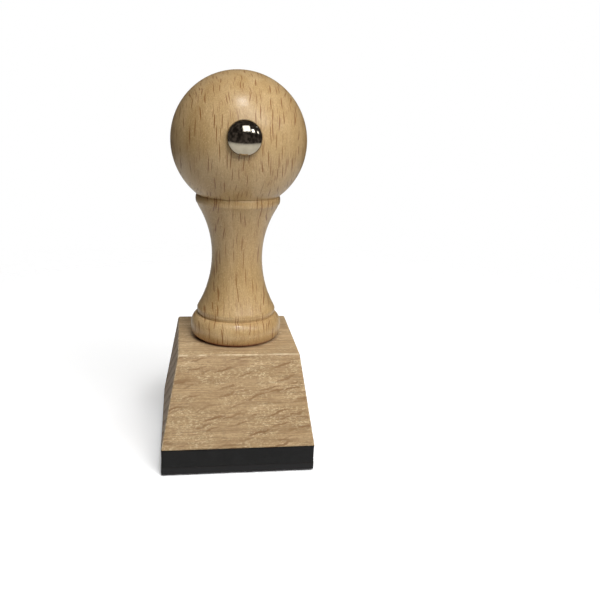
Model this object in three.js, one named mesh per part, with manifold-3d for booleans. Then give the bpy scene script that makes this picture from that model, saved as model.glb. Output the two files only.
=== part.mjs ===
// Rubber stamp: a turned beech handle is screwed to a tapered hardwood block, and a foam
// cushion and an engraved rubber die are stuck under the block with double-sided tape.
// Units are millimetres. +Z is up and -Y is the front, where the guide stud points.
// The origin is the centre of the printing face, which the stamp stands on.
import * as THREE from 'three';
import { mergeVertices } from 'three/addons/utils/BufferGeometryUtils.js';
import Module from 'manifold-3d';

// ---- Driving dimensions ----------------------------------------------------------------

// Mount block, a square frustum.
const blockBottomSide = 40;
const blockTopSide = 31;
const blockHeight = 24.5;
const blockCornerRadius = 0.6;
const blockEdgeBreak = 0.4;

// Layers under the block, from the block down: tape, cushion, tape, die.
const layerInset = 0.1;
const layerCornerRadius = 0.5;
const tapeThickness = 0.2;
const cushionThickness = 4.5;
const dieThickness = 2.3;

// Relief on the die: a square border round a flower, two leaves and a waved ribbon that
// ends in two beads. The art is drawn for a square of its own side and scaled to the border.
const reliefDepth = 0.6;
const shoulderWidth = 0.5;
const borderMargin = 3.65;
const borderWidth = 1.8;
const borderCornerRadius = 0.45;
const artSide = 28.9;
const flowerHeight = 3.4;
const flowerEyeRadius = 1.6;
const petalCount = 6;
const petalOrbit = 4.4;
const petalLength = 4.6;
const petalWidth = 3.2;
const leafLength = 8;
const leafWidth = 4.2;
const leafVein = 0.6;
const leafTilt = 0.5;
const leafOffset = 9.7;
const ribbonHeight = -9;
const ribbonWidth = 1;
const ribbonWaveLength = 5;
const ribbonWaves = 4;
const ribbonAmplitude = 1.3;
const beadRadius = 0.8;

// Handle, one turned piece: foot, flared neck, collar and ball.
const footRadius = 12.15;
const footSeatRadius = 9.9;
const footBulgeHeight = 3.1;
const footHeight = 6.4;
const creaseRadius = 10.1;
const rimRadius = 10.5;
const rimHeight = 1.9;
const rimRounding = 0.5;
const waistRadius = 6.65;
const neckBelowWaist = 14;
const neckAboveWaist = 13.2;
const collarRadius = 10.9;
const collarBandHeight = 1.6;
const collarBevelHeight = 1;
const collarBevelDepth = 0.6;
const grooveDepth = 0.35;
const grooveWidth = 0.4;
const ballRadius = 17.25;

// Guide stud on the front of the ball: a pressed cap closed over the flat head of a nail.
const studTilt = THREE.MathUtils.degToRad(7);
const capRadius = 4.2;
const capHeight = 2.5;
const capWall = 0.4;
const capLipWidth = 0.6;
const nailHeadThickness = 0.7;
const nailRadius = 0.8;
const nailLength = 11;
const nailPoint = 2;

// Countersunk wood screw that holds the handle to the block from below.
const screwLength = 40;
const screwHeadRadius = 3.9;
const screwCoreRadius = 1.4;
const screwShankRadius = 1.5;
const threadRadius = 2;
const threadPitch = 2.2;
const threadLength = 22;
const threadRidgeShare = 0.3;
const screwTip = 4;
const screwHeadRim = 0.3;
const recessSpan = 4.4;
const recessSlot = 0.9;
const recessDepth = 1.5;

// Clearances, each on one side.
const seatGap = 0.05;
const screwHoleGap = 0.2;
const screwTipGap = 1;
const screwHeadSink = 0.3;
const nailHoleGap = 0.05;
const nailTipGap = 0.4;

// How finely round shapes are divided.
const handleSegments = 36;
const smallSegments = 24;
const threadSegments = 16;
const threadRowsPerTurn = 5;

// ---- Heights that follow from them ------------------------------------------------------

const dieTop = dieThickness;
const cushionBottom = dieTop + tapeThickness;
const cushionTop = cushionBottom + cushionThickness;
const blockBottom = cushionTop + tapeThickness;
const blockTop = blockBottom + blockHeight;
const layerSide = blockBottomSide - 2 * layerInset;
const borderSide = layerSide - 2 * borderMargin;
const borderInnerSide = borderSide - 2 * borderWidth;

const rimTop = footHeight + rimHeight;
const waistHeight = rimTop + neckBelowWaist;
const collarBottom = waistHeight + neckAboveWaist;
const collarTop = collarBottom + collarBevelHeight + collarBandHeight;
const grooveRadius = collarRadius - grooveDepth;
const ballSeat = collarTop + grooveWidth;
const ballSeatRadius = grooveRadius + grooveDepth / 2;
const ballCentre = ballSeat + Math.sqrt(ballRadius ** 2 - ballSeatRadius ** 2);

const screwBottom = blockBottom + screwHeadSink;
const screwIntoHandle = screwBottom + screwLength - blockTop;

// ---- Helpers ------------------------------------------------------------------------------

const wasm = await Module();
wasm.setup();

const point = (radius, height) => new THREE.Vector2(radius, height);

// Points of a circular arc in a lathe profile; angles run from +radius towards +height.
function arc(radius, height, size, from, to, steps) {
  return new THREE.EllipseCurve(radius, height, size, size, from, to, to < from).getPoints(steps);
}

// A solid of revolution about Z, from its profile of (radius, height) points.
function turned(profile, segments) {
  return new THREE.LatheGeometry(profile, segments).rotateX(Math.PI / 2);
}

// A geometry as a solid that can be cut and joined.
function toSolid(geometry) {
  const bare = geometry.clone();
  bare.deleteAttribute('normal');
  bare.deleteAttribute('uv');
  const merged = mergeVertices(bare, 1e-4);
  return new wasm.Manifold(
    new wasm.Mesh({
      numProp: 3,
      vertProperties: merged.attributes.position.array,
      triVerts: new Uint32Array(merged.index.array),
    }),
  );
}

// A cut or joined solid as a geometry again.
function toGeometry(solid) {
  const { numProp, numVert, vertProperties, triVerts } = solid.getMesh();
  const positions = new Float32Array(numVert * 3);
  for (let i = 0; i < numVert; i++) {
    positions.set(vertProperties.subarray(i * numProp, i * numProp + 3), i * 3);
  }
  const geometry = new THREE.BufferGeometry();
  geometry.setAttribute('position', new THREE.BufferAttribute(positions, 3));
  geometry.setIndex(new THREE.BufferAttribute(triVerts, 1));
  geometry.computeVertexNormals();
  return geometry;
}

// A square outline with rounded corners, centred on the origin.
function roundedSquare(side, radius) {
  const straight = side / 2 - radius;
  const shape = new THREE.Shape();
  for (let corner = 0; corner < 4; corner++) {
    const start = (corner * Math.PI) / 2;
    const x = straight * (corner === 0 || corner === 3 ? 1 : -1);
    const y = straight * (corner < 2 ? 1 : -1);
    shape.absarc(x, y, radius, start, start + Math.PI / 2, false);
  }
  return shape;
}

// A flat square layer of the stack under the block.
function layer(bottom, thickness) {
  const outline = roundedSquare(layerSide, layerCornerRadius);
  return new THREE.ExtrudeGeometry(outline, {
    depth: thickness,
    bevelEnabled: false,
    curveSegments: 3,
  }).translate(0, 0, bottom);
}

function named(name, geometry, material) {
  const mesh = new THREE.Mesh(geometry, material);
  mesh.name = name;
  return mesh;
}

// ---- Materials ------------------------------------------------------------------------------

const finish = (color, roughness, metalness) =>
  new THREE.MeshStandardMaterial({ color, roughness, metalness });

const beech = finish(0xc8a878, 0.45, 0);
const oak = finish(0xb99b76, 0.75, 0);
const nickel = finish(0xcfcac2, 0.12, 1);
const zincSteel = finish(0xb8bcc0, 0.35, 1);
const tape = finish(0xe6e0d2, 0.5, 0);
const foam = finish(0x2b2b2b, 0.95, 0);
const rubber = finish(0x232325, 0.7, 0);

// ---- Pieces -----------------------------------------------------------------------------------

// The mount block: an extruded square, tapered, with the screw's countersunk hole through it.
function mountBlock() {
  const outline = roundedSquare(blockBottomSide - 2 * blockEdgeBreak, blockCornerRadius);
  const body = new THREE.ExtrudeGeometry(outline, {
    depth: blockHeight - 2 * blockEdgeBreak,
    bevelThickness: blockEdgeBreak,
    bevelSize: blockEdgeBreak,
    bevelSegments: 1,
    curveSegments: 3,
  }).translate(0, 0, blockEdgeBreak);
  const place = body.attributes.position;
  for (let i = 0; i < place.count; i++) {
    const share = place.getZ(i) / blockHeight;
    const scale = 1 + share * (blockTopSide / blockBottomSide - 1);
    place.setXY(i, place.getX(i) * scale, place.getY(i) * scale);
  }
  body.translate(0, 0, blockBottom);

  const holeRadius = threadRadius + screwHoleGap;
  const mouthRadius = screwHeadRadius + screwHoleGap;
  const over = 1;
  const hole = turned(
    [
      point(0, blockBottom - over),
      point(mouthRadius, blockBottom - over),
      point(mouthRadius, screwBottom + screwHeadRim + seatGap),
      point(holeRadius, screwBottom + screwHeadRim + seatGap + mouthRadius - holeRadius),
      point(holeRadius, blockTop + over),
      point(0, blockTop + over),
    ],
    smallSegments,
  );
  return toGeometry(toSolid(body).subtract(toSolid(hole)));
}

// The handle's outline, from the middle of its seat to the top of the ball. The neck is two
// arcs that meet upright at the waist.
function handleProfile() {
  const footPart = (inner, height, from, to) =>
    new THREE.EllipseCurve(
      inner, footBulgeHeight, footRadius - inner, height, from, to,
    ).getPoints(5);

  const neckArc = (reach, endRadius) => {
    const sag = endRadius - waistRadius;
    const size = (reach ** 2 + sag ** 2) / (2 * sag);
    return { size, centre: waistRadius + size, sweep: Math.asin(reach / size) };
  };
  const lower = neckArc(neckBelowWaist, rimRadius - rimRounding / 3);
  const upper = neckArc(neckAboveWaist, collarRadius - collarBevelDepth);
  const half = Math.PI;
  const ballStart = Math.asin((ballSeat - ballCentre) / ballRadius);

  return [
    point(0, 0),
    ...footPart(footSeatRadius, footBulgeHeight, -half / 2, 0),
    ...footPart(creaseRadius, footHeight - footBulgeHeight, 0, half / 2).slice(1),
    point(rimRadius, rimTop - rimRounding),
    ...arc(lower.centre, waistHeight, lower.size, half + lower.sweep, half, 10),
    ...arc(upper.centre, waistHeight, upper.size, half, half - upper.sweep, 9).slice(1),
    point(collarRadius, collarBottom + collarBevelHeight),
    point(collarRadius, collarTop),
    point(grooveRadius, collarTop + grooveWidth / 2),
    ...arc(0, ballCentre, ballRadius, ballStart, half / 2, 17).slice(0, -1),
    point(0, ballCentre + ballRadius),
  ];
}

// Turns a piece made along +Z so that it stands out of the front of the ball.
function ontoBall(mesh) {
  mesh.position.set(0, 0, blockTop + ballCentre);
  mesh.rotation.set(Math.PI / 2 - studTilt, 0, 0);
  return mesh;
}

// The handle, with the screw's pilot hole in its foot and the nail's hole in the ball.
function handle() {
  const body = turned(handleProfile(), handleSegments).translate(0, 0, blockTop);
  const over = 1;
  const pilotDepth = screwIntoHandle + screwTipGap;
  const pilotRadius = threadRadius + screwHoleGap;
  const pilot = turned(
    [
      point(0, -over),
      point(pilotRadius, -over),
      point(pilotRadius, pilotDepth - pilotRadius),
      point(0, pilotDepth),
    ],
    smallSegments,
  ).translate(0, 0, blockTop);

  const nailHole = turned(
    [
      point(0, ballRadius - nailLength - nailTipGap),
      point(nailRadius + nailHoleGap, ballRadius - nailLength + nailPoint - nailTipGap),
      point(nailRadius + nailHoleGap, ballRadius + over),
      point(0, ballRadius + over),
    ],
    smallSegments,
  );
  const placed = ontoBall(new THREE.Mesh(nailHole));
  placed.updateMatrix();
  nailHole.applyMatrix4(placed.matrix);
  return toGeometry(toSolid(body).subtract(toSolid(pilot)).subtract(toSolid(nailHole)));
}

// How far the ball's surface falls away from its crown at a distance from the stud's axis.
const ballDrop = (radius) => ballRadius - Math.sqrt(ballRadius ** 2 - radius ** 2);

// The stud's cap: a pressed dome whose lip is turned in under the nail's head.
function studCap() {
  const crown = ballRadius;
  const lipRadius = capRadius - capWall - capLipWidth;
  const rimBottom = crown - ballDrop(capRadius - capWall) + seatGap;
  const lipBottom = crown - ballDrop(lipRadius) + seatGap;
  const headBottom = crown + seatGap;
  const dome = (radius, rise, steps) =>
    Array.from({ length: steps + 1 }, (_, i) => {
      const turn = (i / steps) * (Math.PI / 2);
      return point(radius * Math.cos(turn), headBottom + rise * Math.sin(turn));
    });
  return turned(
    [
      ...dome(capRadius - capWall, capHeight - capWall - seatGap, 7).reverse(),
      point(lipRadius, headBottom),
      point(lipRadius, lipBottom),
      point(capRadius - capWall, rimBottom),
      point(capRadius - capWall / 4, rimBottom + capWall / 4),
      ...dome(capRadius, capHeight - seatGap, 9),
    ],
    smallSegments,
  );
}

// The stud's nail: a flat head that lies on the cap's lip, and a pointed shank.
function studNail() {
  const headRadius = capRadius - capWall - 4 * seatGap;
  const headBottom = ballRadius + 2 * seatGap;
  const tip = ballRadius - nailLength;
  return turned(
    [
      point(0, tip),
      point(nailRadius, tip + nailPoint),
      point(nailRadius, headBottom),
      point(headRadius, headBottom),
      point(headRadius, headBottom + nailHeadThickness / 2),
      point(headRadius - nailHeadThickness / 2, headBottom + nailHeadThickness),
      point(0, headBottom + nailHeadThickness),
    ],
    smallSegments,
  );
}

// The screw: a turned blank whose threaded stretch is pushed out along a helix.
function handleScrew() {
  const threadStart = screwLength - screwTip / 2 - threadLength;
  const rows = Math.round((threadLength / threadPitch) * threadRowsPerTurn);
  const coreAt = (height) =>
    screwCoreRadius * Math.min(1, (screwLength - height) / screwTip);
  const headHeight = screwHeadRadius - screwShankRadius;
  const blank = [
    point(0, 0),
    point(screwHeadRadius, 0),
    point(screwHeadRadius, screwHeadRim),
    point(screwShankRadius, screwHeadRim + headHeight),
    point(screwShankRadius, threadStart - threadPitch / 2),
  ];
  for (let row = 0; row <= rows; row++) {
    const height = threadStart + (row / rows) * threadLength;
    blank.push(point(coreAt(height), height));
  }
  blank.push(point(0, screwLength));

  const geometry = turned(blank, threadSegments);
  const place = geometry.attributes.position;
  const crest = threadRadius - screwCoreRadius;
  for (let i = 0; i < place.count; i++) {
    const [x, y, z] = [place.getX(i), place.getY(i), place.getZ(i)];
    const along = (z - threadStart) / threadPitch;
    if (along <= 0 || z >= screwLength) continue;
    const turn = Math.atan2(y, x) / (2 * Math.PI);
    const phase = (((along - turn) % 1) + 1) % 1;
    const ridge = Math.max(0, 1 - Math.abs(phase - 0.5) / threadRidgeShare);
    const fade = Math.min(1, along, (screwLength - z) / screwTip);
    const radius = Math.hypot(x, y);
    const scale = (radius + crest * ridge * fade) / radius;
    place.setXY(i, x * scale, y * scale);
  }

  const slot = new THREE.BoxGeometry(recessSpan, recessSlot, 2 * recessDepth);
  const crossed = slot.clone().rotateZ(Math.PI / 2);
  const recessed = toSolid(geometry).subtract(toSolid(slot)).subtract(toSolid(crossed));
  return toGeometry(recessed).translate(0, 0, screwBottom);
}

// The outlines that stand out of the die.
function reliefShapes() {
  const border = roundedSquare(borderSide, borderCornerRadius);
  border.holes.push(roundedSquare(borderInnerSide, borderCornerRadius));

  const eye = new THREE.Shape().absarc(0, flowerHeight, flowerEyeRadius, 0, 2 * Math.PI);
  const petals = Array.from({ length: petalCount }, (_, i) => {
    const turn = (i / petalCount) * 2 * Math.PI + Math.PI / 2;
    const x = petalOrbit * Math.cos(turn);
    const y = flowerHeight + petalOrbit * Math.sin(turn);
    return new THREE.Shape().absellipse(
      x, y, petalLength / 2, petalWidth / 2, 0, 2 * Math.PI, false, turn,
    );
  });

  // Each leaf is two halves, on either side of its vein.
  const leaves = [];
  for (const side of [-1, 1]) {
    for (const half of [-1, 1]) {
      const across = (half * leafVein) / 2;
      const outline = [
        point(-leafLength / 2, across),
        ...Array.from({ length: 7 }, (_, i) => {
          const along = (i + 1) / 8;
          const bulge = Math.sin(Math.PI * along) * (leafWidth - leafVein) * 0.5;
          return point((along - 0.5) * leafLength, across + half * bulge);
        }),
        point(leafLength / 2, across),
      ];
      const tilt = side * leafTilt;
      const placed = outline.map((p) => {
        const turnedPoint = p.clone().rotateAround(point(0, 0), tilt);
        return turnedPoint.add(point(side * leafOffset, flowerHeight - leafWidth / 2));
      });
      leaves.push(new THREE.Shape(placed));
    }
  }

  const ribbonLength = ribbonWaves * ribbonWaveLength;
  const ribbonSteps = ribbonWaves * 8;
  const edge = (offset) =>
    Array.from({ length: ribbonSteps + 1 }, (_, i) => {
      const along = i / ribbonSteps - 0.5;
      const wave = Math.cos(along * ribbonWaves * 2 * Math.PI);
      return point(along * ribbonLength, ribbonHeight + ribbonAmplitude * wave + offset);
    });
  const ribbon = new THREE.Shape([
    ...edge(-ribbonWidth / 2),
    ...edge(ribbonWidth / 2).reverse(),
  ]);
  const beads = [-1, 1].map((side) => {
    const x = side * (ribbonLength / 2 + 2 * beadRadius);
    return new THREE.Shape().absarc(x, ribbonHeight, beadRadius, 0, 2 * Math.PI);
  });
  return { border, art: [eye, ...petals, ...leaves, ribbon, ...beads] };
}

// The rubber die: a sheet whose lower part is cut away round the relief, which keeps a
// sloping shoulder round each outline so that it stays stiff.
function rubberDie() {
  const sheet = toSolid(layer(reliefDepth, dieThickness - reliefDepth));
  const envelope = toSolid(layer(0, dieThickness));
  const raise = (shape, scale) => {
    const form = new THREE.ExtrudeGeometry(shape, {
      depth: shoulderWidth,
      bevelThickness: reliefDepth,
      bevelSize: shoulderWidth,
      bevelSegments: 1,
      curveSegments: 7,
    });
    form.translate(0, 0, reliefDepth).scale(scale, scale, 1);
    return toSolid(form).intersect(envelope);
  };
  const { border, art } = reliefShapes();
  const raised = art.map((shape) => raise(shape, borderInnerSide / artSide));
  return toGeometry(raised.reduce((joined, one) => joined.add(one), sheet.add(raise(border, 1))));
}

// ---- Assembly ---------------------------------------------------------------------------------

const stamp = new THREE.Group();
stamp.name = 'rubber_stamp';

const stud = new THREE.Group();
stud.add(named('guide_stud_cap', studCap(), nickel));
stud.add(named('guide_stud_nail', studNail(), zincSteel));
ontoBall(stud);

stamp.add(
  named('handle', handle(), beech),
  stud,
  named('mount_block', mountBlock(), oak),
  named('handle_screw', handleScrew(), zincSteel),
  named('cushion_tape', layer(cushionTop, tapeThickness), tape),
  named('foam_cushion', layer(cushionBottom, cushionThickness), foam),
  named('die_tape', layer(dieTop, tapeThickness), tape),
  named('rubber_die', rubberDie(), rubber),
);

export default stamp;
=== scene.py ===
"""Rubber stamp: the visual model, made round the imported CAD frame.

Everything is in metres in the frame of the part: +Z up, -Y the front. The sizes below are
written in millimetres and become metres in the functions that make the meshes.
"""
import math

import bmesh
import bpy
import numpy as np
from mathutils import Matrix, Vector


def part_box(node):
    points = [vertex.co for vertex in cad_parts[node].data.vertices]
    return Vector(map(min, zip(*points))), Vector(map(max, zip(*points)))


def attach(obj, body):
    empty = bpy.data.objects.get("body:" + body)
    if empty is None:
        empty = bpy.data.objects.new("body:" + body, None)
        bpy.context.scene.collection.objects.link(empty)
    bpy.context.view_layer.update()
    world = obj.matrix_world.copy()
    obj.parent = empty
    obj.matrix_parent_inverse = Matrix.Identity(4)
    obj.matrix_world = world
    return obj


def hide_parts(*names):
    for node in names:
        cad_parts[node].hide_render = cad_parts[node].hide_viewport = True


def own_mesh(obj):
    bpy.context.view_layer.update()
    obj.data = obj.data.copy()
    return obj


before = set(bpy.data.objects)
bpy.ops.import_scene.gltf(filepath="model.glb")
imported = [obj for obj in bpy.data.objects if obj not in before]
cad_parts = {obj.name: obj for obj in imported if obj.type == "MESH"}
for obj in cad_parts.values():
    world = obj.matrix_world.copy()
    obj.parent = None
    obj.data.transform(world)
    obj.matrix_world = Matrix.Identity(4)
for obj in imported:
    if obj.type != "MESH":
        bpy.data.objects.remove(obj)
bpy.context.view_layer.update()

MM = 0.001


# ---- Sizes, in millimetres --------------------------------------------------------------

def box_mm(node):
    """Lowest and highest corner of a CAD node, in millimetres."""
    return [corner / MM for corner in map(Vector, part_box(node))]


handle_low, handle_high = box_mm("handle")
block_low, block_high = box_mm("mount_block")
foam_low, foam_high = box_mm("foam_cushion")
die_low, die_high = box_mm("rubber_die")
screw_top = box_mm("handle_screw")[1].z

# Handle, heights counted from its seat on the block.
seat = handle_low.z
ball_radius = 17.25
ball_centre = handle_high.z - ball_radius
foot_radius = 12.15
foot_seat_radius = 9.9
foot_bulge_height = 3.1
foot_height = 6.4
crease_radius = 10.1
rim_radius = 10.5
rim_height = 1.9
rim_rounding = 0.55
seat_rounding = 0.2
crease_rounding = 0.12
rim_lower_rounding = 0.35
rim_upper_rounding = 0.4
waist_radius = 6.65
neck_below_waist = 14.0
neck_above_waist = 13.2
collar_radius = 10.95
collar_band_height = 1.6
collar_bevel_height = 1.0
collar_bevel_depth = 0.6
bead_overhang = 0.35
groove_depth = 0.4
groove_width = 0.4
pilot_radius = 2.2
screw_tip_gap = 1.0

# Guide stud.
stud_tilt = math.radians(7)
cap_radius = 4.2
cap_height = 2.5
cap_wall = 0.4
cap_lip_width = 0.6
cap_gap = 0.05
cap_rim_rounding = 0.22
nail_hole_radius = 0.85
nail_hole_depth = 11.4
nail_hole_point = 2.0

# Mount block.
block_top_side = 31.0
block_edge_radius = 0.45
hole_radius = 2.2
hole_mouth_radius = 4.1
hole_mouth_depth = 0.65

# Cushion and die.
layer_corner_radius = 0.5
foam_cell = 0.3
foam_roughness = 0.035
foam_waist = 0.05
relief_depth = 0.6
shoulder_width = 0.5
shoulder_steps = 4
border_margin = 3.65
border_width = 1.8
border_corner_radius = 0.45
flower_height = 3.4
flower_eye = 3.2
petal_count = 6
petal_orbit = 4.4
petal_length = 4.6
petal_width = 3.2
leaf_length = 8.0
leaf_width = 4.2
leaf_vein = 0.6
leaf_tilt = 0.5
leaf_offset = 9.7
ribbon_height = -9.0
ribbon_length = 20.0
ribbon_width = 1.0
ribbon_waves = 4
ribbon_amplitude = 1.3
bead_offset = 11.6
bead_size = 1.6
rib_pitch = 0.62
rib_height = 0.13
crumb_height = 0.07
die_rows = 330
die_columns = 240


# ---- Meshes -----------------------------------------------------------------------------

def make_piece(name, mesh, body, material, replaces=()):
    """Adds a mesh as a finished piece that rides on a body of the frame."""
    piece = bpy.data.objects.new(name, mesh)
    bpy.context.scene.collection.objects.link(piece)
    mesh.materials.clear()
    mesh.materials.append(material)
    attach(piece, body)
    if replaces:
        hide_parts(*replaces)
    return piece


def finish_mesh(name, bm, sharp_degrees=None):
    """Turns a bmesh in millimetres into a smooth-shaded mesh in metres."""
    bmesh.ops.recalc_face_normals(bm, faces=bm.faces)
    bmesh.ops.scale(bm, vec=(MM, MM, MM), verts=bm.verts)
    mesh = bpy.data.meshes.new(name)
    bm.to_mesh(mesh)
    bm.free()
    mesh.shade_smooth()
    if sharp_degrees is not None:
        mesh.set_sharp_from_angle(angle=math.radians(sharp_degrees))
    return mesh


def arc(centre, radii, start, end, steps):
    """Points of an elliptical arc in a (radius, height) profile; angles in degrees."""
    turns = np.radians(np.linspace(start, end, steps + 1))
    return [(centre[0] + radii[0] * math.cos(a), centre[1] + radii[1] * math.sin(a)) for a in turns]


def fillet(before, corner, after, radius, steps=5):
    """The points that round one corner of a profile."""
    before, corner, after = Vector(before), Vector(corner), Vector(after)
    near = corner + (before - corner).normalized() * radius
    far = corner + (after - corner).normalized() * radius
    shares = [i / steps for i in range(steps + 1)]
    return [tuple(near * (1 - t) ** 2 + corner * 2 * t * (1 - t) + far * t * t) for t in shares]


def turned(profile, segments):
    """A closed bmesh swept round Z from a profile that starts and ends on the axis."""
    bm = bmesh.new()
    rings = []
    for radius, height in profile:
        if radius < 1e-6:
            rings.append([bm.verts.new((0, 0, height))])
            continue
        turns = [2 * math.pi * i / segments for i in range(segments)]
        rings.append([
            bm.verts.new((radius * math.cos(a), radius * math.sin(a), height)) for a in turns
        ])
    for low, high in zip(rings, rings[1:]):
        for i in range(segments):
            j = (i + 1) % segments
            corners = [low[i % len(low)], low[j % len(low)], high[j % len(high)], high[i % len(high)]]
            bm.faces.new(list(dict.fromkeys(corners)))
    return bm


def cut(bm, cutter):
    """Takes one closed bmesh out of another and returns what is left."""
    made = []
    for name, one in (("kept", bm), ("cutter", cutter)):
        bmesh.ops.recalc_face_normals(one, faces=one.faces)
        mesh = bpy.data.meshes.new(name)
        one.to_mesh(mesh)
        one.free()
        made.append(bpy.data.objects.new(name, mesh))
        bpy.context.scene.collection.objects.link(made[-1])
    kept, tool = made
    modifier = kept.modifiers.new("cut", "BOOLEAN")
    modifier.operation = "DIFFERENCE"
    modifier.solver = "EXACT"
    modifier.object = tool
    left = bmesh.new()
    left.from_object(kept, bpy.context.evaluated_depsgraph_get())
    for one in made:
        bpy.data.meshes.remove(one.data)
    return left


# ---- Handle -----------------------------------------------------------------------------

def handle_profile():
    """The turned outline, from the bottom of the pilot hole round to the top of the ball."""
    rim_top = foot_height + rim_height
    waist = rim_top + neck_below_waist
    collar_bottom = waist + neck_above_waist
    band_bottom = collar_bottom + collar_bevel_height
    band_top = band_bottom + collar_band_height
    ball_seat = band_top + groove_width
    centre = ball_centre - seat
    groove_radius = collar_radius - groove_depth

    def neck(reach, end_radius):
        sag = end_radius - waist_radius
        size = (reach ** 2 + sag ** 2) / (2 * sag)
        return size, math.degrees(math.asin(reach / size))

    lower_size, lower_sweep = neck(neck_below_waist, rim_radius - rim_rounding / 3)
    upper_size, upper_sweep = neck(neck_above_waist, collar_radius - collar_bevel_depth)
    lower = arc((waist_radius + lower_size, waist), (lower_size,) * 2, 180 + lower_sweep, 180, 36)
    upper = arc((waist_radius + upper_size, waist), (upper_size,) * 2, 180, 180 - upper_sweep, 36)
    foot_low = arc((foot_seat_radius, foot_bulge_height),
                   (foot_radius - foot_seat_radius, foot_bulge_height), -90, 0, 14)
    foot_high = arc((crease_radius, foot_bulge_height),
                    (foot_radius - crease_radius, foot_height - foot_bulge_height), 0, 84, 16)
    ball_start = -math.degrees(math.acos((collar_radius - groove_depth / 2) / ball_radius))
    ball = arc((0, centre), (ball_radius,) * 2, ball_start, 90, 90)
    bead = arc((groove_radius, (band_bottom + band_top) / 2),
               (collar_radius - groove_radius, collar_band_height / 2 + bead_overhang), -80, 88, 14)
    pilot_depth = screw_top + screw_tip_gap - seat
    return [
        (0, pilot_depth),
        (pilot_radius, pilot_depth - pilot_radius),
        *fillet((pilot_radius, pilot_depth / 2), (pilot_radius, 0), (foot_seat_radius, 0),
                seat_rounding),
        *foot_low,
        *foot_high[1:],
        *fillet((rim_radius + 0.4, foot_height), (crease_radius, foot_height),
                (crease_radius, rim_top), crease_rounding),
        *fillet((crease_radius, foot_height), (rim_radius, rim_top - rim_rounding * 1.6),
                lower[2], rim_lower_rounding, 6),
        *fillet((rim_radius, rim_top - rim_rounding), lower[0], lower[4], rim_upper_rounding),
        *lower[3:],
        *upper[1:-1],
        *bead,
        (groove_radius, ball_seat - groove_width * 0.45),
        *ball[1:-1],
        (0, centre + ball_radius),
    ]


def onto_ball():
    """The matrix that carries a shape made along +Z to the stud's place on the ball."""
    return Matrix.Translation((0, 0, ball_centre)) @ Matrix.Rotation(math.pi / 2 - stud_tilt, 4, "X")


def make_handle(material):
    """The turned handle, with the pilot hole for the screw and the nail's hole in the ball."""
    body = turned([(r, seat + h) for r, h in handle_profile()], 224)
    deep = ball_radius - nail_hole_depth
    hole = turned([(0, deep), (nail_hole_radius, deep + nail_hole_point),
                   (nail_hole_radius, ball_radius + 1), (0, ball_radius + 1)], 32)
    bmesh.ops.transform(hole, matrix=onto_ball(), verts=hole.verts)
    mesh = finish_mesh("turned_handle", cut(body, hole), sharp_degrees=50)
    return make_piece("turned_handle", mesh, "mount", material, ["handle"])


# ---- Guide stud -------------------------------------------------------------------------

def make_stud_cap(material):
    """A pressed dome whose rim curls in under the nail's head."""
    def ball_drop(radius):
        return ball_radius - math.sqrt(ball_radius ** 2 - radius ** 2)

    base = ball_radius + cap_gap
    inner = cap_radius - cap_wall
    lip = inner - cap_lip_width
    rim = base - ball_drop(inner)
    shell = arc((0, base), (cap_radius, cap_height - cap_gap), 0, 90, 40)
    cavity = arc((0, base), (inner, cap_height - cap_wall - cap_gap), 90, 0, 24)
    curl = fillet((inner, rim), (cap_radius - 0.05, rim), shell[2], cap_rim_rounding, 6)
    profile = [
        (0, cavity[0][1]),
        *cavity[1:-1],
        (lip, base),
        (lip, base - ball_drop(lip)),
        *curl,
        *shell[1:-1],
        (0, base + cap_height - cap_gap),
    ]
    cap = turned(profile, 128)
    bmesh.ops.transform(cap, matrix=onto_ball(), verts=cap.verts)
    mesh = finish_mesh("polished_cap", cap, sharp_degrees=60)
    return make_piece("polished_cap", mesh, "mount", material, ["guide_stud_cap"])


# ---- Mount block ------------------------------------------------------------------------

def make_block(material):
    """The tapered block, with softened edges and the screw's countersunk hole."""
    side = block_high.x - block_low.x
    height = block_high.z - block_low.z
    bm = bmesh.new()
    bmesh.ops.create_cube(bm, size=1)
    for v in bm.verts:
        wide = side if v.co.z < 0 else block_top_side
        v.co = (v.co.x * wide, v.co.y * wide, block_low.z + (v.co.z + 0.5) * height)
    bmesh.ops.bevel(bm, geom=bm.edges[:], offset=block_edge_radius, segments=5, profile=0.5,
                    affect="EDGES")
    cone_top = block_low.z + hole_mouth_depth + hole_mouth_radius - hole_radius
    hole = turned([(0, block_low.z - 1), (hole_mouth_radius, block_low.z - 1),
                   (hole_mouth_radius, block_low.z + hole_mouth_depth), (hole_radius, cone_top),
                   (hole_radius, block_high.z + 1), (0, block_high.z + 1)], 48)
    mesh = finish_mesh("tapered_block", cut(bm, hole), sharp_degrees=35)
    return make_piece("tapered_block", mesh, "mount", material, ["mount_block"])


# ---- Cushion and die --------------------------------------------------------------------

def round_corner(x, y, half):
    """Moves points of a square so that its corners become round; x and y are arrays."""
    start = half - layer_corner_radius
    u = np.clip((np.abs(x) - start) / layer_corner_radius, 0, None)
    v = np.clip((np.abs(y) - start) / layer_corner_radius, 0, None)
    bent = (u > 0) & (v > 0)
    new_u = np.where(bent, u * np.sqrt(1 - v * v / 2), u)
    new_v = np.where(bent, v * np.sqrt(1 - u * u / 2), v)
    new_x = np.where(bent, np.sign(x) * (start + new_u * layer_corner_radius), x)
    new_y = np.where(bent, np.sign(y) * (start + new_v * layer_corner_radius), y)
    return new_x, new_y


def square_ring(half, step):
    """Points round a square with round corners, anticlockwise."""
    count = round(2 * half / step)
    along = np.linspace(-half, half, count, endpoint=False)
    edge = np.full(count, half)
    x = np.concatenate([along, edge, -along, -edge])
    y = np.concatenate([-edge, along, edge, -along])
    return round_corner(x, y, half)


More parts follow.
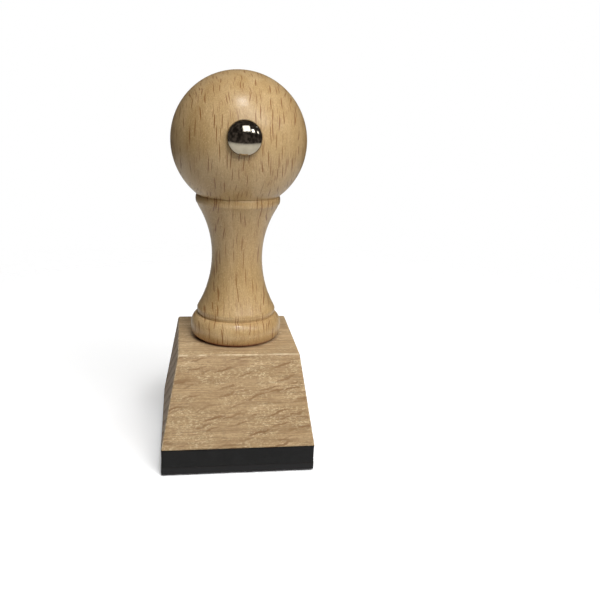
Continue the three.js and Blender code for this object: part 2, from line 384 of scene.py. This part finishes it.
def make_foam(material):
    """The cushion: knife-cut closed-cell foam, rough on its sides and flat where it is stuck."""
    half = foam_high.x - foam_roughness
    x, y = square_ring(half, foam_cell)
    levels = round((foam_high.z - foam_low.z) / foam_cell)
    random = np.random.default_rng(4)
    bm = bmesh.new()
    rings = []
    for level in range(levels + 1):
        share = level / levels
        bulge = math.sin(math.pi * share)
        rough = random.uniform(-1, 1, len(x)) * foam_roughness * bulge ** 0.3
        scale = 1 - (foam_waist * bulge + rough) / half
        height = foam_low.z + share * (foam_high.z - foam_low.z)
        rings.append([bm.verts.new((a, b, height)) for a, b in zip(x * scale, y * scale)])
    for low, high in zip(rings, rings[1:]):
        for i in range(len(x)):
            j = (i + 1) % len(x)
            bm.faces.new((low[i], low[j], high[j], high[i]))
    bm.faces.new(rings[0][::-1])
    bm.faces.new(rings[-1])
    mesh = finish_mesh("foam_pad", bm, sharp_degrees=60)
    pad = make_piece("foam_pad", mesh, "mount", material, ["foam_cushion"])
    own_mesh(pad)
    return pad


def square_distance(x, y, half, radius):
    """Signed distance to a square with round corners, negative inside."""
    qx = np.abs(x) - half + radius
    qy = np.abs(y) - half + radius
    outside = np.hypot(np.clip(qx, 0, None), np.clip(qy, 0, None))
    return outside + np.minimum(np.maximum(qx, qy), 0) - radius


def ellipse_distance(x, y, centre, turn, length, width):
    """Roughly the signed distance to a turned ellipse, negative inside."""
    dx, dy = x - centre[0], y - centre[1]
    along = dx * math.cos(turn) + dy * math.sin(turn)
    across = dy * math.cos(turn) - dx * math.sin(turn)
    reach = np.hypot(along / (length / 2), across / (width / 2)) + 1e-9
    slope = np.hypot(along / (length / 2) ** 2, across / (width / 2) ** 2) / reach + 1e-9
    return (reach - 1) / slope


def leaf_distance(x, y, side):
    """Signed distance to a leaf on one side of the flower, with its vein left open."""
    tilt = leaf_tilt * side
    dx, dy = x - side * leaf_offset, y - (flower_height - leaf_width / 2)
    along = dx * math.cos(tilt) + dy * math.sin(tilt)
    across = np.abs(dy * math.cos(tilt) - dx * math.sin(tilt))
    inside = np.clip(along / leaf_length + 0.5, 0, 1)
    edge = leaf_vein / 2 + np.sin(np.pi * inside) * (leaf_width - leaf_vein) / 2
    ends = np.abs(along) - leaf_length / 2
    return np.maximum(np.maximum(across - edge, leaf_vein / 2 - across) * 0.85, ends)


def ribbon_distance(x, y):
    """Signed distance to the waved ribbon under the flower."""
    phase = 2 * math.pi * ribbon_waves * x / ribbon_length
    wave = ribbon_height + ribbon_amplitude * np.cos(phase)
    slope = ribbon_amplitude * 2 * math.pi * ribbon_waves / ribbon_length * np.sin(phase)
    across = np.abs(y - wave) / np.sqrt(1 + slope ** 2) - ribbon_width * 0.42
    return np.maximum(across, np.abs(x) - ribbon_length / 2)


def relief_distance(x, y, half):
    """Signed distance to everything that prints."""
    outer = half - border_margin
    inner = outer - border_width
    border = np.maximum(square_distance(x, y, outer, border_corner_radius),
                        -square_distance(x, y, inner, border_corner_radius))
    eye = ellipse_distance(x, y, (0, flower_height), 0, flower_eye, flower_eye)
    shapes = [border, eye, ribbon_distance(x, y)]
    for i in range(petal_count):
        turn = math.radians(90 + 360 / petal_count * i)
        centre = (petal_orbit * math.cos(turn), flower_height + petal_orbit * math.sin(turn))
        shapes.append(ellipse_distance(x, y, centre, turn, petal_length, petal_width))
    for side in (-1, 1):
        shapes.append(leaf_distance(x, y, side))
        bead = (side * bead_offset, ribbon_height)
        shapes.append(ellipse_distance(x, y, bead, 0, bead_size, bead_size))
    return np.minimum.reduce(shapes)


def relief_heights(distance, x, y, half):
    """Height of the engraved face: 0 where it prints, up to the depth of the laser's cut."""
    slope = np.clip(distance / shoulder_width, 0, 1)
    stepped = np.round(slope * shoulder_steps) / shoulder_steps
    rise = (0.55 * slope + 0.45 * stepped) * relief_depth
    wander = 0.09 * np.sin(x * 0.9) + 0.05 * np.sin(x * 2.3 + 1)
    ribs = 0.5 + 0.5 * np.cos(2 * math.pi * (y + wander) / rib_pitch)
    strength = 0.6 + 0.4 * np.sin(x * 0.31 + y * 0.17) * np.sin(y * 0.43)
    inner = half - border_margin - border_width
    strength *= np.where(np.maximum(np.abs(x), np.abs(y)) < inner, 0.6, 1.0)
    crumbs = np.random.default_rng(7).uniform(-1, 1, len(x)) * crumb_height
    crumbs *= np.clip(distance / 0.1, 0, 1) * np.clip(2.2 - 2 * slope, 0.2, 1)
    return rise - rib_height * ribs * strength * np.clip(slope - 0.15, 0, 1) - np.abs(crumbs)


def make_die(material):
    """The rubber die: an engraved face below, plain sides and a flat back."""
    half = die_high.x
    columns = np.linspace(-half, half, die_columns)
    rows = np.linspace(-half, half, die_rows)
    x, y = (a.ravel() for a in np.meshgrid(columns, rows))
    distance = relief_distance(x, y, half)
    z = np.maximum(relief_heights(distance, x, y, half), 0)
    x, y = round_corner(x, y, half)
    face = np.stack([x, y, z + die_low.z], 1)
    index = np.arange(len(face)).reshape(die_rows, die_columns)
    edge = np.concatenate([index[0, :-1], index[:-1, -1], index[-1, :0:-1], index[:0:-1, 0]])
    back = face[edge] * (1, 1, 0) + (0, 0, die_high.z)
    upper = np.arange(len(edge)) + len(face)
    quads = np.stack([index[:-1, :-1], index[1:, :-1], index[1:, 1:], index[:-1, 1:]], -1)
    wall = np.stack([edge, np.roll(edge, -1), np.roll(upper, -1), upper], 1)
    faces = quads.reshape(-1, 4).tolist() + wall.tolist() + [upper.tolist()]
    mesh = bpy.data.meshes.new("engraved_die")
    mesh.from_pydata(np.concatenate([face, back]) * MM, [], faces)
    scuffs = np.zeros(len(mesh.vertices))
    scuffs[:len(face)] = np.exp(-((distance - 0.06) / 0.13) ** 2)
    mesh.attributes.new("scuffed", "FLOAT", "POINT").data.foreach_set("value", scuffs)
    mesh.shade_smooth()
    mesh.set_sharp_from_angle(angle=math.radians(40))
    return make_piece("engraved_die", mesh, "die", material, ["rubber_die"])


# ---- Materials --------------------------------------------------------------------------

class Shader:
    """One material's nodes. Each method adds a node and returns its main output."""

    def __init__(self, name):
        self.material = bpy.data.materials.new(name)
        self.material.use_nodes = True
        self.tree = self.material.node_tree
        self.tree.nodes.clear()

    def node(self, kind, inputs, output=0, **settings):
        """Any shader node, from values or sockets for its inputs, by number or name."""
        node = self.tree.nodes.new("ShaderNode" + kind)
        for key, value in settings.items():
            setattr(node, key, value)
        for key, value in inputs.items():
            if isinstance(value, bpy.types.NodeSocket):
                self.tree.links.new(value, node.inputs[key])
            else:
                node.inputs[key].default_value = value
        return node.outputs[output] if node.outputs else None

    def place(self):
        """The point on the piece, in millimetres."""
        return self.vector("SCALE", self.node("TexCoord", {}, "Object"), scale=1 / MM)

    def math(self, operation, *values):
        return self.node("Math", dict(enumerate(values)), operation=operation)

    def vector(self, operation, *values, scale=None):
        inputs = dict(enumerate(values))
        if scale is not None:
            inputs["Scale"] = scale
        output = "Value" if operation in ("LENGTH", "DOT_PRODUCT") else "Vector"
        return self.node("VectorMath", inputs, output, operation=operation)

    def noise(self, place, sizes, detail=2.0, roughness=0.5):
        """Smooth noise from 0 to 1 whose blobs have these sizes along X, Y and Z."""
        scaled = self.vector("DIVIDE", place, sizes)
        return self.node("TexNoise", {"Vector": scaled, "Scale": 1.0, "Detail": detail,
                                      "Roughness": roughness}, "Fac")

    def ramp(self, value, low, high, to_low=0.0, to_high=1.0):
        """Goes smoothly from one value to another while the input goes from low to high."""
        return self.node("MapRange", {"Value": value, "From Min": low, "From Max": high,
                                      "To Min": to_low, "To Max": to_high},
                         interpolation_type="SMOOTHSTEP")

    def mix(self, factor, first, second):
        """A colour between two colours."""
        node = self.tree.nodes.new("ShaderNodeMix")
        node.data_type = "RGBA"
        for key, value in ((0, factor), (6, first), (7, second)):
            if isinstance(value, bpy.types.NodeSocket):
                self.tree.links.new(value, node.inputs[key])
            else:
                node.inputs[key].default_value = value
        return node.outputs[2]

    def flecks(self, place, cell, half_size, share):
        """Scattered lens-shaped marks, 1 at their middle; about this share of cells has one."""
        scaled = self.vector("DIVIDE", place, cell)
        voronoi = self.node("TexVoronoi", {"Vector": scaled, "Scale": 1.0, "Randomness": 1.0},
                            "Position")
        chance = self.node("SeparateColor", {0: voronoi.node.outputs["Color"]})
        offset = self.vector("SUBTRACT", scaled, voronoi)
        stretched = self.vector("MULTIPLY", offset,
                                tuple(c / h for c, h in zip(cell, half_size)))
        mark = self.ramp(self.vector("LENGTH", stretched), 0.45, 0.95, 1.0, 0.0)
        strength = self.ramp(chance, 1 - share, 1 - share + 0.25)
        return self.math("MULTIPLY", mark, strength)

    def bump(self, height, distance, strength):
        """A normal for relief this many millimetres high."""
        return self.node("Bump", {"Height": height, "Distance": distance * MM,
                                  "Strength": strength})

    def surface(self, **inputs):
        """The shader itself, with its inputs by name, spaces as underscores."""
        named = {key.replace("_", " "): value for key, value in inputs.items()}
        shader = self.node("BsdfPrincipled", named)
        self.node("OutputMaterial", {"Surface": shader})
        return self.material


def grey(value):
    """An even grey, or white at 1."""
    return (value, value, value, 1)


def beech_wood():
    """Lacquered beech, its fibres along Z, with the short dark flecks of its rays."""
    s = Shader("beech_wood")
    place = s.place()
    drift = s.noise(place, (6, 6, 16), 1.0)
    sway = s.node("CombineXYZ", {0: s.math("MULTIPLY", drift, 2.2)})
    place = s.vector("ADD", place, sway)
    bands = s.noise(place, (3.5, 5, 60), 3.0)
    cloud = s.noise(place, (9, 9, 12), 2.0)
    fibres = s.noise(place, (0.2, 0.4, 3.5), 3.0, 0.6)
    grain = s.noise(place, (0.22, 0.3, 0.45), 2.0, 0.7)
    large = s.flecks(place, (1.35, 3.0, 4.4), (0.19, 2.0, 3.4), 0.85)
    small = s.flecks(s.vector("ADD", place, (31, 17, 11)), (0.8, 2.0, 2.2), (0.13, 1.2, 1.3), 0.7)
    sideways = s.node("SeparateXYZ", {0: s.vector("ABSOLUTE", s.node("NewGeometry", {}, "Normal"))})
    large = s.math("MULTIPLY", large, s.ramp(sideways, 0.75, 1.0, 1.0, 0.45))
    colour = s.mix(s.ramp(bands, 0.3, 0.7), (0.655, 0.455, 0.225, 1), (0.535, 0.345, 0.145, 1))
    colour = s.mix(s.ramp(cloud, 0.35, 0.8, 0.0, 0.25), colour, (0.45, 0.27, 0.105, 1))
    colour = s.mix(s.ramp(fibres, 0.35, 0.75, 0.0, 0.45), colour, (0.40, 0.25, 0.105, 1))
    colour = s.mix(s.ramp(grain, 0.5, 0.75, 0.0, 0.5), colour, (0.82, 0.63, 0.36, 1))
    colour = s.mix(s.ramp(grain, 0.5, 0.25, 0.0, 0.4), colour, (0.34, 0.21, 0.095, 1))
    colour = s.mix(s.math("MULTIPLY", small, 0.6), colour, (0.36, 0.18, 0.065, 1))
    colour = s.mix(s.math("MULTIPLY", large, 0.95), colour, (0.30, 0.135, 0.045, 1))
    rise = s.node("SeparateXYZ", {0: place}, 2)
    # Painted shade: a dark red-brown band at the bottom of the foot, where it stands on the block.
    contact_shade = s.ramp(rise, seat + 0.35, seat + 1.2, 0.95, 0.0)
    colour = s.mix(contact_shade, colour, (0.24, 0.035, 0.015, 1))
    height = s.math("SUBTRACT", s.math("MULTIPLY", grain, 0.5), s.math("MULTIPLY", large, 0.6))
    ripple = s.noise(place, (0.9, 0.9, 0.5), 3.0, 0.7)
    return s.surface(Base_Color=colour,
                     Roughness=s.ramp(grain, 0.2, 0.8, 0.36, 0.5),
                     Specular_IOR_Level=0.4,
                     Coat_Weight=0.6,
                     Coat_Roughness=0.2,
                     Coat_Normal=s.bump(ripple, 0.05, 0.6),
                     Normal=s.bump(height, 0.06, 0.7))


def block_rings(s, place, warp):
    """Growth rings, 1 on their dark late wood: slanted and unevenly spaced, 3 mm apart or so."""
    diagonal = s.vector("DOT_PRODUCT", place, (0.0, 0.52, 0.86))
    spacing = s.noise(s.node("CombineXYZ", {2: diagonal}), (1, 1, 5), 1.0)
    diagonal = s.math("ADD", diagonal, s.math("MULTIPLY", spacing, 2.4))
    diagonal = s.math("ADD", diagonal, s.math("MULTIPLY", warp, 1.0))
    ring = s.math("FRACT", s.math("DIVIDE", diagonal, 3.0))
    ring = s.math("MULTIPLY", s.ramp(ring, 0.4, 0.85), s.ramp(ring, 1.0, 0.9))
    return s.math("MULTIPLY", ring, s.ramp(s.noise(place, (6, 6, 6), 2.0), 0.3, 0.65, 0.35, 1.0))


def block_rays(s, place):
    """Long flakes of ray, sloping across the front and back in uneven groups."""
    sloped = s.node("VectorRotate", {"Vector": place, "Axis": (0, 1, 0), "Angle": math.radians(15)},
                    rotation_type="AXIS_ANGLE")
    wavy = s.node("CombineXYZ", {2: s.math("MULTIPLY", s.noise(place, (4, 4, 3), 3.0), 2.6)})
    rays = s.flecks(s.vector("ADD", sloped, wavy), (5.4, 3.0, 1.6), (4.4, 1.6, 0.44), 0.85)
    return s.math("MULTIPLY", rays, s.ramp(s.noise(place, (7, 4, 4), 1.0), 0.3, 0.6, 0.45, 1.0))


def block_end_grain(s, place, ring, speckle):
    """The colour of the two end faces: rings crossed by fine pale rays."""
    ends = s.mix(ring, (0.48, 0.37, 0.27, 1), (0.24, 0.165, 0.11, 1))
    ends = s.mix(s.ramp(speckle, 0.45, 0.75, 0.0, 0.6), ends, (0.20, 0.125, 0.08, 1))
    radial = s.noise(place, (9, 0.25, 5), 2.0)
    return s.mix(s.ramp(radial, 0.5, 0.7, 0.0, 0.3), ends, (0.5, 0.36, 0.24, 1))


def block_wood():
    """Bare sanded hardwood, its fibres along X and its rings slanting across the ends."""
    s = Shader("block_wood")
    place = s.place()

    # Which face a point is on, and whether it is on an edge between two.
    facing = s.vector("ABSOLUTE", s.node("NewGeometry", {}, "Normal"))
    axes = s.node("SeparateXYZ", {0: facing}).node.outputs
    flattest = s.math("MAXIMUM", s.math("MAXIMUM", axes[0], axes[1]), axes[2])
    edge = s.ramp(flattest, 0.97, 0.85)
    end, front, top = (s.ramp(axis, 0.55, 0.85) for axis in axes)

    # The patterns.
    warp = s.noise(place, (16, 9, 9), 2.0)
    streaks = s.noise(place, (9, 0.3, 0.3), 3.0, 0.6)
    speckle = s.noise(place, (0.75, 0.38, 0.38), 2.0, 0.8)
    patches = s.ramp(s.noise(place, (8, 4, 4), 1.0), 0.35, 0.62, 0.25, 1.0)
    broad = s.noise(place, (22, 4, 4), 2.0)
    rays = s.math("MULTIPLY", block_rays(s, place), front)
    ring = block_rings(s, place, warp)
    pores = s.flecks(place, (1.8, 0.45, 0.45), (0.8, 0.13, 0.13), 0.6)
    contours = s.math("ABSOLUTE", s.math("SUBTRACT", s.noise(place, (45, 3.2, 3.2), 1.0), 0.5))
    veins = s.math("MULTIPLY", s.ramp(contours, 0.022, 0.004), s.ramp(warp, 0.4, 0.6))
    lines = s.ramp(s.noise(place, (40, 0.42, 0.42), 2.0), 0.5, 0.62)

    # The colour, from the ground up.
    colour = s.mix(s.ramp(broad, 0.3, 0.7), (0.58, 0.40, 0.22, 1), (0.48, 0.32, 0.165, 1))
    colour = s.mix(s.ramp(streaks, 0.42, 0.64, 0.0, 0.65), colour, (0.33, 0.21, 0.10, 1))
    light_specks = s.math("MULTIPLY", s.ramp(speckle, 0.48, 0.68, 0.0, 0.75), patches)
    colour = s.mix(light_specks, colour, (0.82, 0.68, 0.43, 1))
    colour = s.mix(s.ramp(speckle, 0.47, 0.25, 0.0, 0.6), colour, (0.33, 0.205, 0.105, 1))
    colour = s.mix(s.math("MULTIPLY", ring, 0.25), colour, (0.33, 0.21, 0.11, 1))
    colour = s.mix(s.math("MULTIPLY", veins, 0.6), colour, (0.28, 0.16, 0.075, 1))
    colour = s.mix(s.math("MULTIPLY", rays, 0.85), colour, (0.28, 0.155, 0.07, 1))
    colour = s.mix(s.math("MULTIPLY", pores, 0.45), colour, (0.20, 0.125, 0.065, 1))
    # Painted light: the top face is made a little paler, as if lit more from above.
    colour = s.mix(s.math("MULTIPLY", top, 0.08), colour, (0.92, 0.76, 0.48, 1))
    lines = s.math("MULTIPLY", s.math("MULTIPLY", lines, top), 0.75)
    colour = s.mix(lines, colour, (0.36, 0.235, 0.125, 1))
    colour = s.mix(end, colour, block_end_grain(s, place, ring, speckle))
    # Painted highlight: the softened edges are painted paler, broken up by noise.
    edge_highlight = s.math("MULTIPLY", edge, s.ramp(s.noise(place, (3, 1, 1), 2.0), 0.42, 0.62, 0.0, 0.7))
    colour = s.mix(edge_highlight, colour, (0.80, 0.65, 0.43, 1))

    # The relief: fibres stand proud, pores and late wood lie low.
    height = s.math("ADD", s.math("MULTIPLY", streaks, 0.6), s.math("MULTIPLY", speckle, 0.5))
    height = s.math("SUBTRACT", height, s.math("MULTIPLY", pores, 0.6))
    height = s.math("SUBTRACT", height, s.math("MULTIPLY", s.math("MULTIPLY", ring, end), 0.15))
    return s.surface(Base_Color=colour,
                     Roughness=s.ramp(speckle, 0.2, 0.8, 0.55, 0.75),
                     Specular_IOR_Level=0.35,
                     Normal=s.bump(height, 0.1, 0.8))


def nickel():
    """Polished plating with hairline rubbing marks."""
    s = Shader("nickel_plating")
    place = s.place()
    marks = s.noise(place, (2.2, 0.12, 0.9), 3.0, 0.7)
    cloud = s.noise(place, (1.5, 1.5, 1.5), 2.0)
    colour = s.mix(s.ramp(cloud, 0.3, 0.7), (0.60, 0.555, 0.46, 1), (0.52, 0.48, 0.395, 1))
    # Painted shade and reflection: the plating darkens towards its rim, where it meets the ball.
    axis = (0, -math.cos(stud_tilt), math.sin(stud_tilt))
    rise = s.vector("DOT_PRODUCT", s.vector("SUBTRACT", place, (0, 0, ball_centre)), axis)
    rim = s.ramp(rise, ball_radius + 0.3, ball_radius + 1.1, 0.9, 0.0)
    return s.surface(Base_Color=s.mix(rim, colour, (0.10, 0.075, 0.05, 1)),
                     Metallic=1.0,
                     Roughness=s.ramp(marks, 0.45, 0.8, 0.09, 0.15),
                     Normal=s.bump(marks, 0.004, 0.3))


def zinc_steel():
    """Bright zinc plate, a little clouded and yellowed."""
    s = Shader("zinc_plated_steel")
    place = s.place()
    cloud = s.noise(place, (1.2, 1.2, 2.0), 3.0)
    drawn = s.noise(place, (0.1, 0.1, 3.0), 2.0)
    return s.surface(Base_Color=s.mix(s.ramp(cloud, 0.35, 0.7), (0.56, 0.57, 0.58, 1),
                                      (0.50, 0.48, 0.42, 1)),
                     Metallic=1.0,
                     Roughness=s.ramp(cloud, 0.3, 0.7, 0.28, 0.42),
                     Normal=s.bump(drawn, 0.01, 0.4))


def tape_film():
    """Clear film tape, seen only as a thin dark line between its neighbours."""
    s = Shader("tape_film")
    bubbles = s.noise(s.place(), (0.8, 0.8, 0.8), 2.0)
    return s.surface(Base_Color=s.mix(bubbles, (0.02, 0.019, 0.018, 1), (0.013, 0.012, 0.012, 1)),
                     Roughness=s.ramp(bubbles, 0.3, 0.7, 0.5, 0.65),
                     Specular_IOR_Level=0.2)


def black_foam():
    """Closed-cell foam, cut with a knife: a matte black surface of small open cells."""
    s = Shader("black_foam")
    place = s.place()
    cells = s.node("TexVoronoi", {"Vector": place, "Scale": 4.5}, "Distance")
    dust = s.noise(place, (3, 3, 3), 3.0)
    return s.surface(Base_Color=s.mix(s.ramp(dust, 0.3, 0.75), (0.02, 0.02, 0.02, 1),
                                      (0.023, 0.023, 0.023, 1)),
                     Roughness=s.ramp(cells, 0.1, 0.6, 0.8, 0.95),
                     Specular_IOR_Level=0.2,
                     Normal=s.bump(cells, 0.05, 0.5))


def black_rubber():
    """Laser-cut rubber: dark grey, greyer where the laser has burnt it back."""
    s = Shader("black_rubber")
    place = s.place()
    grain = s.noise(place, (0.16, 0.16, 0.16), 3.0, 0.6)
    height = s.node("SeparateXYZ", {0: place}, 2)
    down = s.node("SeparateXYZ", {0: s.node("NewGeometry", {}, "Normal")}, 2)
    burnt = s.math("MULTIPLY", s.ramp(height, die_low.z + 0.05, die_low.z + 0.3),
                   s.ramp(down, -0.05, -0.3))
    colour = s.mix(burnt, (0.02, 0.02, 0.021, 1), (0.023, 0.023, 0.024, 1))
    colour = s.mix(s.ramp(grain, 0.5, 0.8, 0.0, 0.5), colour, (0.04, 0.04, 0.042, 1))
    edges = s.node("Attribute", {}, "Fac", attribute_name="scuffed")
    scuffs = s.math("MULTIPLY", edges, s.ramp(s.noise(place, (0.3, 0.3, 0.3), 3.0), 0.4, 0.6))
    colour = s.mix(s.math("MULTIPLY", scuffs, 0.8), colour, (0.14, 0.14, 0.145, 1))
    return s.surface(Base_Color=colour,
                     Roughness=s.ramp(grain, 0.3, 0.7, 0.55, 0.75),
                     Specular_IOR_Level=0.25,
                     Normal=s.bump(grain, 0.02, 0.5))


def paint_nodes():
    """Gives the CAD nodes that stay in view their own materials."""
    steel, film = zinc_steel(), tape_film()
    for node, material in (("guide_stud_nail", steel), ("handle_screw", steel),
                           ("cushion_tape", film), ("die_tape", film)):
        for material_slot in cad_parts[node].material_slots:
            material_slot.material = material


# ---- Stage ------------------------------------------------------------------------------

floor_radius = 4000.0
floor_sides = 64
floor_drop = 0.02
light_inset = 0.6
lamp_distance = 900.0
aim_height = 50.0
camera_target = (17.5, 0, 41.3)
camera_distance = 200.5
camera_lens = 43.84


def make_floor():
    """A wide pale floor that melts into the white backdrop.

    It is clear from below and lets light up under the slab, so that the print face can be
    looked at. It lies a hair lower than that face, which would otherwise share its plane.
    """
    s = Shader("pale_floor")
    rays = s.node("LightPath", {}).node.outputs
    seen, mirrored = rays["Is Camera Ray"], rays["Is Glossy Ray"]
    tone = s.mix(mirrored, grey(0.6), (0.76, 0.73, 0.67, 1))
    paint = s.node("BsdfDiffuse", {"Color": s.mix(seen, tone, grey(1.4))})
    clear = s.node("BsdfTransparent", {})
    distance = s.vector("LENGTH", s.place())
    near_fade = s.ramp(distance, 60, 260)
    far_fade = s.ramp(distance, 150, 420)
    fade = s.node("Mix", {0: seen, 2: far_fade, 3: near_fade})
    below = s.node("NewGeometry", {}, "Backfacing")
    reach = s.node("SeparateXYZ", {0: s.vector("ABSOLUTE", s.place())}).node.outputs
    lit_half = die_high.x - light_inset
    under_slab = s.math("LESS_THAN", s.math("MAXIMUM", reach[0], reach[1]), lit_half)
    lit = s.math("MULTIPLY", under_slab, rays["Is Shadow Ray"])
    through = s.math("MAXIMUM", s.math("MAXIMUM", fade, below), lit)
    shown = s.node("MixShader", {0: through, 1: paint, 2: clear})
    s.node("OutputMaterial", {"Surface": shown})
    turns = [2 * math.pi * i / floor_sides for i in range(floor_sides)]
    rim = [(floor_radius * math.cos(a), floor_radius * math.sin(a), -floor_drop) for a in turns]
    mesh = bpy.data.meshes.new("floor")
    mesh.from_pydata([Vector(p) * MM for p in rim], [], [range(floor_sides)])
    mesh.materials.append(s.material)
    floor = bpy.data.objects.new("floor", mesh)
    bpy.context.scene.collection.objects.link(floor)


def make_camera():
    """The camera stands low in front, a little to the left, and leans slightly."""
    turn, rise, lean = map(math.radians, (-9.46, 16.98, 2.62))
    pose = (Matrix.Rotation(turn, 4, "Z") @ Matrix.Rotation(math.pi / 2 - rise, 4, "X")
            @ Matrix.Rotation(lean, 4, "Z"))
    data = bpy.data.cameras.new("camera")
    data.sensor_width = 36
    data.lens = camera_lens
    data.clip_start = 0.01
    data.clip_end = 20
    camera = bpy.data.objects.new("camera", data)
    back = Matrix.Translation((0, 0, camera_distance * MM))
    camera.matrix_world = Matrix.Translation(Vector(camera_target) * MM) @ pose @ back
    bpy.context.scene.collection.objects.link(camera)
    bpy.context.scene.camera = camera


def add_light(name, turn, rise, size, power, glossy=True):
    """A square lamp aimed at the stamp; turn is to the right of the front, in degrees.

    The size is in metres and the power in watts. Some lamps are left out of reflections.
    """
    data = bpy.data.lights.new(name, "AREA")
    data.shape = "SQUARE"
    data.size = size
    data.energy = power
    lamp = bpy.data.objects.new(name, data)
    aim = (Matrix.Translation((0, 0, aim_height * MM)) @ Matrix.Rotation(math.radians(turn), 4, "Z")
           @ Matrix.Rotation(math.radians(90 - rise), 4, "X"))
    lamp.matrix_world = aim @ Matrix.Translation((0, 0, lamp_distance * MM))
    lamp.visible_glossy = glossy
    bpy.context.scene.collection.objects.link(lamp)
    return lamp


def keep_dark(lamp, piece):
    """Stops a lamp from lighting one piece."""
    lit = bpy.data.collections.new(lamp.name + "_receivers")
    lit.objects.link(piece)
    lit.collection_objects[0].light_linking.link_state = "EXCLUDE"
    lamp.light_linking.receiver_collection = lit


def make_world():
    """White to the camera, a dim room in reflections, and soft fill from all round."""
    world = bpy.data.worlds.new("studio")
    world.use_nodes = True
    tree = world.node_tree
    tree.nodes.clear()
    out = tree.nodes.new("ShaderNodeOutputWorld")
    path = tree.nodes.new("ShaderNodeLightPath")
    shades = []
    for strength in (0.03, 0.03, 1.0):
        shade = tree.nodes.new("ShaderNodeBackground")
        shade.inputs[0].default_value = grey(1)
        shade.inputs[1].default_value = strength
        shades.append(shade)
    fill, room, backdrop = shades
    mottle = tree.nodes.new("ShaderNodeTexNoise")
    mottle.inputs["Scale"].default_value = 4.0
    contrast = tree.nodes.new("ShaderNodeMapRange")
    contrast.inputs["From Min"].default_value = 0.42
    contrast.inputs["From Max"].default_value = 0.68
    walls = tree.nodes.new("ShaderNodeMixRGB")
    walls.inputs[1].default_value = (0.5, 0.4, 0.34, 1)
    walls.inputs[2].default_value = (3.4, 2.9, 2.7, 1)
    tree.links.new(mottle.outputs[0], contrast.inputs[0])
    tree.links.new(contrast.outputs[0], walls.inputs[0])
    tree.links.new(walls.outputs[0], room.inputs[0])
    reflected = tree.nodes.new("ShaderNodeMixShader")
    seen = tree.nodes.new("ShaderNodeMixShader")
    tree.links.new(path.outputs["Is Glossy Ray"], reflected.inputs[0])
    tree.links.new(fill.outputs[0], reflected.inputs[1])
    tree.links.new(room.outputs[0], reflected.inputs[2])
    tree.links.new(path.outputs["Is Camera Ray"], seen.inputs[0])
    tree.links.new(reflected.outputs[0], seen.inputs[1])
    tree.links.new(backdrop.outputs[0], seen.inputs[2])
    tree.links.new(seen.outputs[0], out.inputs[0])
    bpy.context.scene.world = world


def make_lights(cap):
    """Soft light from all round, windows that the stud mirrors, and two lamps from below."""
    add_light("key_glow", 10, 49, 0.45, 2.3, glossy=False)
    add_light("side_glow", 42, 39, 0.45, 3.1, glossy=False)
    add_light("ceiling", 0, 80, 0.45, 0.25, glossy=False)
    add_light("back_glow", 190, 38, 0.6, 1.5, glossy=False)
    add_light("window", 12, 47, 0.42, 1.3)
    add_light("second_window", 43, 35, 0.19, 0.38)
    add_light("third_window", 73, 26, 0.13, 0.18)
    add_light("fourth_window", 107, 41, 0.06, 0.035)
    skylight = add_light("skylight", 5, 70, 0.2, 1.9)
    keep_dark(skylight, cap)
    add_light("under_key", -50, -32, 0.25, 14)
    add_light("under_fill", 60, -60, 0.5, 8)


def make_stage(cap):
    """The camera, the floor, the world and the lamps, none of them part of the object."""
    make_camera()
    make_floor()
    make_world()
    make_lights(cap)
    bpy.context.scene.view_settings.view_transform = "Standard"
    bpy.context.scene.view_settings.look = "None"


make_handle(beech_wood())
stud_cap = make_stud_cap(nickel())
make_block(block_wood())
make_foam(black_foam())
make_die(black_rubber())
paint_nodes()
make_stage(stud_cap)
